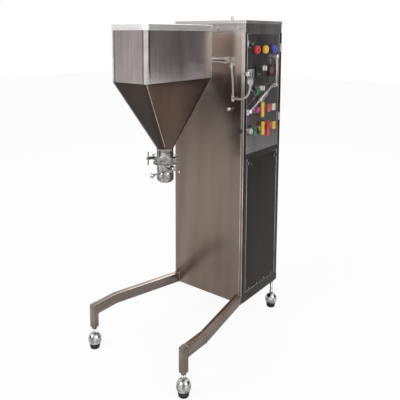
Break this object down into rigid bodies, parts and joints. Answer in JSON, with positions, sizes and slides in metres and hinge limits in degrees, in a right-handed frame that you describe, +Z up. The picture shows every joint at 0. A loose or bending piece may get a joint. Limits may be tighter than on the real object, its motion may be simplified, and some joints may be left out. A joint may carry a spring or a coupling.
{
  "type": "piston liquid filler",
  "caption": "Cabinet on splayed tube legs with bell feet, an open tapered hopper over a lever valve in front, a side control door, and an air-driven piston inside.",
  "frame": {"origin": "on the floor at the middle of the footprint", "axes": "+Z up, -Y the machine's front where the hopper is, +X the control door's side"},
  "size_m": [0.509, 0.776, 1.32],
  "materials": {
    "steel_sheet": "brushed, satin",
    "steel_tube": "satin",
    "polished": "polished",
    "dark_band": "satin",
    "black_rubber": "matte",
    "white_seal": "matte",
    "black_plastic": "matte",
    "dark_case": "gloss",
    "white_plastic": "gloss",
    "red_plastic": "gloss",
    "yellow_plastic": "gloss",
    "amber_plastic": "gloss",
    "green_plastic": "gloss",
    "blue_plastic": "gloss",
    "violet_plastic": "gloss",
    "pink_plastic": "gloss",
    "pale_plastic": "gloss",
    "clear_bowl": "clear",
    "hose_pu": "gloss",
    "aluminium": "satin"
  },
  "bodies": {
    "machine": {"base_frame": "steel_tube", "leg_left": "steel_tube", "leg_right": "steel_tube", "foot_pads": "black_rubber", "cabinet_shell": "steel_sheet", "header_band": "dark_band", "top_cover": "steel_sheet", "hinge_wall_leaves": "polished", "hopper_bin": "steel_sheet", "hopper_neck": "polished", "hopper_bracket": "polished", "valve_body": "polished", "outlet_union": "polished", "clamp_gasket": "white_seal", "clamp_front": "polished", "clamp_rear": "polished", "regulator_body": "aluminium", "regulator_bowl": "clear_bowl", "air_hoses": "hose_pu", "air_fittings": "polished", "drive_mount": "steel_tube", "product_barrel": "polished", "air_barrel": "aluminium", "air_cylinder_ends": "aluminium"},
    "control_door": {"control_door": "steel_sheet", "hinge_door_leaves": "polished", "device_bodies": "polished", "lamp_red": "red_plastic", "lamp_yellow": "yellow_plastic", "lamp_blue": "blue_plastic", "meter_counter": "dark_case", "meter_timer": "dark_case", "guard_upright": "polished", "guard_sloping_bar": "polished"},
    "lower_panel": {"lower_panel": "steel_sheet"},
    "valve_lever": {"valve_lever": "polished", "valve_ball": "polished"},
    "clamp_wing_nut": {"clamp_wing_nut": "polished"},
    "regulator_knob": {"regulator_knob": "black_plastic"},
    "piston_rod": {"piston_rod": "polished"},
    "foot_front_left": {"foot_front_left": "polished"},
    "foot_front_right": {"foot_front_right": "polished"},
    "foot_rear_left": {"foot_rear_left": "polished"},
    "foot_rear_right": {"foot_rear_right": "polished"},
    "button_start_green": {"button_start_green": "green_plastic"},
    "button_mode_violet": {"button_mode_violet": "violet_plastic"},
    "button_pink": {"button_pink": "pink_plastic"},
    "button_white": {"button_white": "white_plastic"},
    "button_green": {"button_green": "green_plastic"},
    "button_yellow": {"button_yellow": "yellow_plastic"},
    "button_red": {"button_red": "red_plastic"},
    "button_amber_tall": {"button_amber_tall": "amber_plastic"},
    "button_square_pale": {"button_square_pale": "pale_plastic"},
    "button_square_yellow": {"button_square_yellow": "yellow_plastic"},
    "switch_main": {"switch_main": "black_plastic"},
    "switch_fill": {"switch_fill": "black_plastic"},
    "switch_cycle": {"switch_cycle": "white_plastic"},
    "switch_speed": {"switch_speed": "white_plastic"},
    "latch_front": {"latch_front": "black_plastic"},
    "latch_rear": {"latch_rear": "black_plastic"}
  },
  "joints": [
    {"name": "control_door_hinge", "type": "hinge", "parent": "machine", "child": "control_door", "pos_m": [0.185, 0.35725, 1], "axis": [0, 0, 1], "range_deg": [0, 110]},
    {"name": "lower_panel_tilt", "type": "hinge", "parent": "machine", "child": "lower_panel", "pos_m": [0.18, 0.23, 0.1719], "axis": [0, 1, 0], "range_deg": [0, 85]},
    {"name": "valve_turn", "type": "hinge", "parent": "machine", "child": "valve_lever", "pos_m": [0.042, -0.189, 0.743], "axis": [1, 0, 0], "range_deg": [0, 90]},
    {"name": "clamp_wing_turn", "type": "hinge", "parent": "machine", "child": "clamp_wing_nut", "pos_m": [-0.05, -0.219, 0.777], "axis": [0, 1, 0], "range_deg": [-720, 0]},
    {"name": "regulator_knob_turn", "type": "hinge", "parent": "machine", "child": "regulator_knob", "pos_m": [0.212, 0.0725, 1.11], "axis": [0, 0, 1], "range_deg": [-360, 360]},
    {"name": "piston_stroke", "type": "slide", "parent": "machine", "child": "piston_rod", "axis": [0, 0, 1], "range_m": [0, 0.12]},
    {"name": "foot_front_left_turn", "type": "hinge", "parent": "machine", "child": "foot_front_left", "pos_m": [-0.228, -0.3615, 0.035], "axis": [0, 0, 1], "range_deg": [-360, 360]},
    {"name": "foot_front_right_turn", "type": "hinge", "parent": "machine", "child": "foot_front_right", "pos_m": [0.228, -0.3615, 0.035], "axis": [0, 0, 1], "range_deg": [-360, 360]},
    {"name": "foot_rear_left_turn", "type": "hinge", "parent": "machine", "child": "foot_rear_left", "pos_m": [-0.1653, 0.3615, 0.035], "axis": [0, 0, 1], "range_deg": [-360, 360]},
    {"name": "foot_rear_right_turn", "type": "hinge", "parent": "machine", "child": "foot_rear_right", "pos_m": [0.1653, 0.3615, 0.035], "axis": [0, 0, 1], "range_deg": [-360, 360]},
    {"name": "button_start_green_press", "type": "slide", "parent": "control_door", "child": "button_start_green", "axis": [-1, 0, 0], "range_m": [0, 0.004], "stiffness_N_per_m": 400, "springref_m": -0.001},
    {"name": "button_mode_violet_press", "type": "slide", "parent": "control_door", "child": "button_mode_violet", "axis": [-1, 0, 0], "range_m": [0, 0.004], "stiffness_N_per_m": 400, "springref_m": -0.001},
    {"name": "button_pink_press", "type": "slide", "parent": "control_door", "child": "button_pink", "axis": [-1, 0, 0], "range_m": [0, 0.004], "stiffness_N_per_m": 400, "springref_m": -0.001},
    {"name": "button_white_press", "type": "slide", "parent": "control_door", "child": "button_white", "axis": [-1, 0, 0], "range_m": [0, 0.004], "stiffness_N_per_m": 400, "springref_m": -0.001},
    {"name": "button_green_press", "type": "slide", "parent": "control_door", "child": "button_green", "axis": [-1, 0, 0], "range_m": [0, 0.004], "stiffness_N_per_m": 400, "springref_m": -0.001},
    {"name": "button_yellow_press", "type": "slide", "parent": "control_door", "child": "button_yellow", "axis": [-1, 0, 0], "range_m": [0, 0.004], "stiffness_N_per_m": 400, "springref_m": -0.001},
    {"name": "button_red_press", "type": "slide", "parent": "control_door", "child": "button_red", "axis": [-1, 0, 0], "range_m": [0, 0.004], "stiffness_N_per_m": 400, "springref_m": -0.001},
    {"name": "button_amber_tall_press", "type": "slide", "parent": "control_door", "child": "button_amber_tall", "axis": [-1, 0, 0], "range_m": [0, 0.004], "stiffness_N_per_m": 400, "springref_m": -0.001},
    {"name": "button_square_pale_press", "type": "slide", "parent": "control_door", "child": "button_square_pale", "axis": [-1, 0, 0], "range_m": [0, 0.004], "stiffness_N_per_m": 400, "springref_m": -0.001},
    {"name": "button_square_yellow_press", "type": "slide", "parent": "control_door", "child": "button_square_yellow", "axis": [-1, 0, 0], "range_m": [0, 0.004], "stiffness_N_per_m": 400, "springref_m": -0.001},
    {"name": "switch_main_turn", "type": "hinge", "parent": "control_door", "child": "switch_main", "pos_m": [0.185, 0.1115, 1.204], "axis": [1, 0, 0], "range_deg": [-45, 45]},
    {"name": "switch_fill_turn", "type": "hinge", "parent": "control_door", "child": "switch_fill", "pos_m": [0.185, 0.1395, 1.031], "axis": [1, 0, 0], "range_deg": [-45, 45]},
    {"name": "switch_cycle_turn", "type": "hinge", "parent": "control_door", "child": "switch_cycle", "pos_m": [0.185, 0.2075, 1.026], "axis": [1, 0, 0], "range_deg": [-45, 45]},
    {"name": "switch_speed_turn", "type": "hinge", "parent": "control_door", "child": "switch_speed", "pos_m": [0.185, 0.2235, 1.108], "axis": [1, 0, 0], "range_deg": [-45, 45]},
    {"name": "latch_front_turn", "type": "hinge", "parent": "lower_panel", "child": "latch_front", "pos_m": [0.185, 0.1295, 0.722], "axis": [1, 0, 0], "range_deg": [-90, 0]},
    {"name": "latch_rear_turn", "type": "hinge", "parent": "lower_panel", "child": "latch_rear", "pos_m": [0.185, 0.3375, 0.722], "axis": [1, 0, 0], "range_deg": [-90, 0]}
  ]
}
